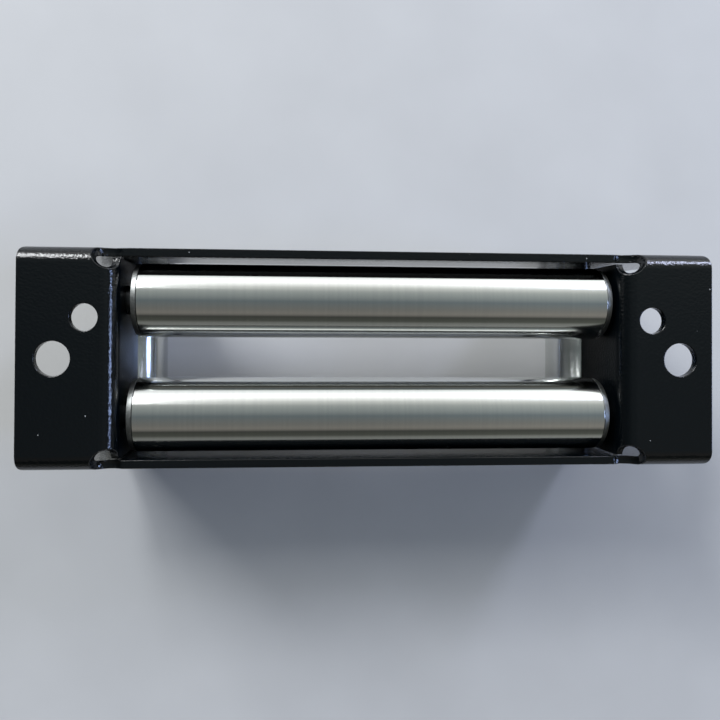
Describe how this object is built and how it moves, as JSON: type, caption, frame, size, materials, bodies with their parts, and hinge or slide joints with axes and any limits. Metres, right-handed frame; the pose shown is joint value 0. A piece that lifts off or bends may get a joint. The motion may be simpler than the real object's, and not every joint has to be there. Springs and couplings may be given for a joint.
{
  "type": "roller fairlead",
  "caption": "Winch roller fairlead: pressed black channel frame with drilled ears and folded side plates, holding long and short zinc-plated rollers that turn freely on pins.",
  "frame": {"origin": "middle of the plane that the front tabs of the flanges stand on", "axes": "+Z from the front tabs up to the mounting face, +X along the long rollers, +Y towards the side with the small holes"},
  "size_m": [0.2816, 0.0954, 0.0725],
  "materials": {
    "frame_paint": "gloss black powder coat with orange peel",
    "roller_zinc": "turned and bright zinc plated",
    "bush_iron": "dull turned steel",
    "pin_steel": "drawn steel, dark and oiled",
    "ring_spring_steel": "phosphated spring steel"
  },
  "bodies": {
    "frame": {"frame": "frame_paint", "upper_pin": "pin_steel", "lower_pin": "pin_steel", "left_pin": "pin_steel", "right_pin": "pin_steel", "upper_ring": "ring_spring_steel", "lower_ring": "ring_spring_steel", "left_ring": "ring_spring_steel", "right_ring": "ring_spring_steel"},
    "upper_roller": {"upper_roller": "roller_zinc", "upper_bush_left": "bush_iron", "upper_bush_right": "bush_iron"},
    "lower_roller": {"lower_roller": "roller_zinc", "lower_bush_left": "bush_iron", "lower_bush_right": "bush_iron"},
    "left_roller": {"left_roller": "roller_zinc", "left_bush_top": "bush_iron", "left_bush_bottom": "bush_iron"},
    "right_roller": {"right_roller": "roller_zinc", "right_bush_top": "bush_iron", "right_bush_bottom": "bush_iron"}
  },
  "joints": [
    {"name": "upper_roller_spin", "type": "hinge", "parent": "frame", "child": "upper_roller", "pos_m": [0, 0.0239, 0.0525], "axis": [1, 0, 0], "continuous": true},
    {"name": "lower_roller_spin", "type": "hinge", "parent": "frame", "child": "lower_roller", "pos_m": [0, -0.0239, 0.0525], "axis": [1, 0, 0], "continuous": true},
    {"name": "left_roller_spin", "type": "hinge", "parent": "frame", "child": "left_roller", "pos_m": [-0.108, 0, 0.017], "axis": [0, 1, 0], "continuous": true},
    {"name": "right_roller_spin", "type": "hinge", "parent": "frame", "child": "right_roller", "pos_m": [0.108, 0, 0.017], "axis": [0, 1, 0], "continuous": true}
  ]
}
